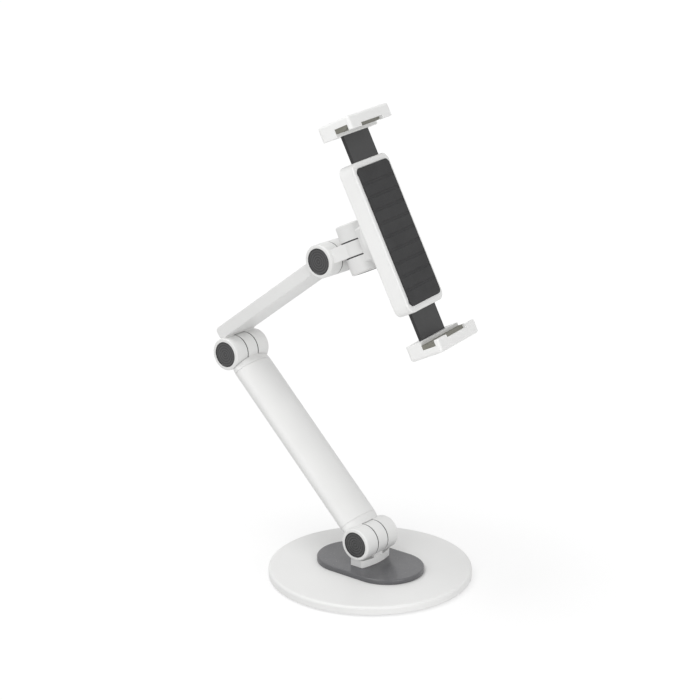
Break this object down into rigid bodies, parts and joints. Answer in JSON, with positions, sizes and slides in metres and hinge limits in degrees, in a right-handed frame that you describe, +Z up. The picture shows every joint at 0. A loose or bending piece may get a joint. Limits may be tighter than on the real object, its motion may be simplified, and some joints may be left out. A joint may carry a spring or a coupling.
{
  "type": "desktop tablet stand",
  "caption": "Desktop tablet stand: round weighted base with turntable, hinged lower and upper arms, and a tilting, swinging, turning holder whose geared jaws slide apart together.",
  "frame": {"origin": "centre of the underside of the base's rubber pad, on the table", "axes": "+Z up, -Y towards the user and the front of the holder, X along the arm hinges"},
  "size_m": [0.168, 0.2374, 0.3875],
  "materials": {
    "white_coated_steel": "satin",
    "white_coated_aluminium": "satin",
    "grey_coated_aluminium": "satin",
    "white_abs": "satin",
    "dark_grey_plastic": "satin",
    "black_acetal": "satin",
    "black_nylon": "matte",
    "natural_nylon": "matte",
    "zinc_plated_steel": "satin",
    "black_rubber": "matte",
    "olive_grey_rubber": "matte"
  },
  "bodies": {
    "base": {"base_disc": "white_coated_steel", "base_rubber_pad": "black_rubber", "glide_ring": "natural_nylon", "pivot_bush": "natural_nylon"},
    "turntable": {"turntable_plate": "grey_coated_aluminium", "foot_bracket": "white_coated_aluminium", "foot_screws": "zinc_plated_steel", "pivot_bolt": "zinc_plated_steel", "pivot_washer": "zinc_plated_steel", "pivot_disc_spring": "zinc_plated_steel", "base_hinge_bush": "natural_nylon"},
    "lower_arm_body": {"lower_fork": "white_coated_aluminium", "lower_arm_tube": "white_coated_aluminium", "elbow_lug": "white_coated_aluminium", "elbow_bush": "natural_nylon", "base_hinge_bolt": "zinc_plated_steel", "base_hinge_nut": "zinc_plated_steel", "base_hinge_disc_springs": "zinc_plated_steel", "base_hinge_friction_washers": "black_nylon", "base_hinge_end_caps": "dark_grey_plastic"},
    "upper_arm_body": {"upper_arm": "white_coated_aluminium", "tilt_bush": "natural_nylon", "elbow_bolt": "zinc_plated_steel", "elbow_nut": "zinc_plated_steel", "elbow_disc_springs": "zinc_plated_steel", "elbow_friction_washers": "black_nylon", "elbow_end_caps": "dark_grey_plastic"},
    "head": {"head_yoke": "white_coated_aluminium", "swing_bush": "natural_nylon", "tilt_bolt": "zinc_plated_steel", "tilt_nut": "zinc_plated_steel", "tilt_disc_springs": "zinc_plated_steel", "tilt_friction_washers": "black_nylon", "tilt_end_caps": "dark_grey_plastic"},
    "hub": {"rotation_hub": "white_coated_aluminium", "swing_bolt": "zinc_plated_steel", "swing_nut": "zinc_plated_steel", "swing_disc_springs": "zinc_plated_steel", "swing_friction_washers": "black_nylon", "swing_end_caps": "dark_grey_plastic"},
    "holder": {"turn_friction_washer": "black_nylon", "retaining_ring": "white_coated_aluminium", "ring_screws": "zinc_plated_steel", "housing_back": "white_abs", "housing_cover": "white_abs", "cover_screws": "zinc_plated_steel", "front_pad": "black_rubber", "pinion_post": "zinc_plated_steel", "pinion_disc_springs": "zinc_plated_steel"},
    "pinion_body": {"pinion": "black_acetal"},
    "upper_jaw_body": {"upper_slide": "black_acetal", "upper_jaw": "white_abs", "upper_jaw_pad": "olive_grey_rubber", "upper_jaw_screws": "zinc_plated_steel"},
    "lower_jaw_body": {"lower_slide": "black_acetal", "lower_jaw": "white_abs", "lower_jaw_pad": "olive_grey_rubber", "lower_jaw_screws": "zinc_plated_steel"}
  },
  "joints": [
    {"name": "base_swivel", "type": "hinge", "parent": "base", "child": "turntable", "pos_m": [0, 0, 0.0082], "axis": [0, 0, 1], "continuous": true},
    {"name": "base_hinge", "type": "hinge", "parent": "turntable", "child": "lower_arm_body", "pos_m": [0, 0, 0.032], "axis": [1, 0, 0], "range_deg": [-38, 60]},
    {"name": "elbow_hinge", "type": "hinge", "parent": "lower_arm_body", "child": "upper_arm_body", "pos_m": [0, 0.1397, 0.1669], "axis": [-1, 0, 0], "range_deg": [-45, 100]},
    {"name": "tilt_hinge", "type": "hinge", "parent": "upper_arm_body", "child": "head", "pos_m": [0, 0.0374, 0.26438], "axis": [1, 0, 0], "range_deg": [-90, 80]},
    {"name": "swing_hinge", "type": "hinge", "parent": "head", "child": "hub", "pos_m": [0, 0.01127, 0.27696], "axis": [0, 0.4337, 0.9011], "range_deg": [-52, 37]},
    {"name": "holder_turn", "type": "hinge", "parent": "hub", "child": "holder", "pos_m": [0.00638, -0.03123, 0.29741], "axis": [-0.134, 0.893, -0.4297], "continuous": true},
    {"name": "upper_jaw_slide", "type": "slide", "parent": "holder", "child": "upper_jaw_body", "axis": [-0.0726, 0.4237, 0.9029], "range_m": [-0.022, 0.024]},
    {"name": "lower_jaw_slide", "type": "slide", "parent": "holder", "child": "lower_jaw_body", "axis": [-0.0726, 0.4237, 0.9029], "range_m": [-0.024, 0.022]},
    {"name": "pinion_spin", "type": "hinge", "parent": "holder", "child": "pinion_body", "pos_m": [0.00638, -0.03123, 0.29741], "axis": [-0.134, 0.893, -0.4297], "range_deg": [-229.2, 210.1]}
  ],
  "couplings": [
    {"joint": "lower_jaw_slide", "follows": "upper_jaw_slide", "ratio": -1},
    {"joint": "pinion_spin", "follows": "upper_jaw_slide", "rad_per_m": -166.67}
  ]
}
